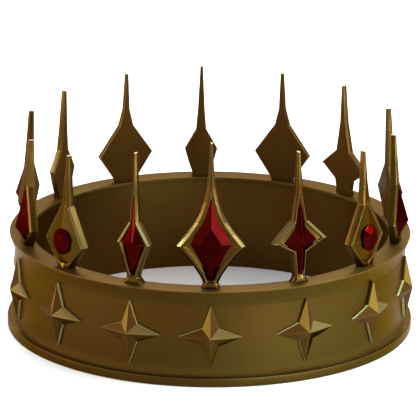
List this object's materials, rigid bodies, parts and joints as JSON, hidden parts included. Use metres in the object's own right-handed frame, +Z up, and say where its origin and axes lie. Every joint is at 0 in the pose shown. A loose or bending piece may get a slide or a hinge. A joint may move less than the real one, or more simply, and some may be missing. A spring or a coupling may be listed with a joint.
{
  "type": "crown",
  "caption": "Round metal crown: a hollow band between two rims, ringed by upright spires with set gems and by star studs.",
  "frame": {"origin": "centre of the underside of the bottom rim, on the crown's axis", "axes": "+Z up along the crown's axis towards the spire tips; -Y is the front, where the tallest spire stands; +X to the wearer's left"},
  "size_m": [0.202, 0.2048, 0.12],
  "materials": {
    "outer_band": "aged gold, satin, fine brushed streaks",
    "inner_band": "dark aged gold, satin",
    "rims": "aged gold, satin, brighter on the edges",
    "spires": "aged gold casting, satin, brighter on the edges",
    "star_studs": "aged gold casting, polished facets",
    "nuts": "plain turned brass",
    "gems": "deep red faceted glass, polished"
  },
  "bodies": {
    "root": {"outer_band": "outer_band", "inner_band": "inner_band", "top_rim": "rims", "bottom_rim": "rims", "spire_01": "spires", "gem_01": "gems", "star_stud_01": "star_studs", "spire_nut_01": "nuts", "spire_02": "spires", "gem_02": "gems", "star_stud_02": "star_studs", "spire_nut_02": "nuts", "spire_03": "spires", "gem_03": "gems", "star_stud_03": "star_studs", "spire_nut_03": "nuts", "spire_04": "spires", "gem_04": "gems", "star_stud_04": "star_studs", "spire_nut_04": "nuts", "spire_05": "spires", "gem_05": "gems", "star_stud_05": "star_studs", "spire_nut_05": "nuts", "spire_06": "spires", "gem_06": "gems", "star_stud_06": "star_studs", "spire_nut_06": "nuts", "spire_07": "spires", "gem_07": "gems", "star_stud_07": "star_studs", "spire_nut_07": "nuts", "spire_08": "spires", "gem_08": "gems", "star_stud_08": "star_studs", "spire_nut_08": "nuts", "spire_09": "spires", "gem_09": "gems", "star_stud_09": "star_studs", "spire_nut_09": "nuts", "spire_10": "spires", "gem_10": "gems", "star_stud_10": "star_studs", "spire_nut_10": "nuts", "spire_11": "spires", "gem_11": "gems", "star_stud_11": "star_studs", "spire_nut_11": "nuts", "spire_12": "spires", "gem_12": "gems", "star_stud_12": "star_studs", "spire_nut_12": "nuts", "spire_13": "spires", "gem_13": "gems", "star_stud_13": "star_studs", "spire_nut_13": "nuts", "spire_14": "spires", "gem_14": "gems", "star_stud_14": "star_studs", "spire_nut_14": "nuts"}
  },
  "joints": []
}
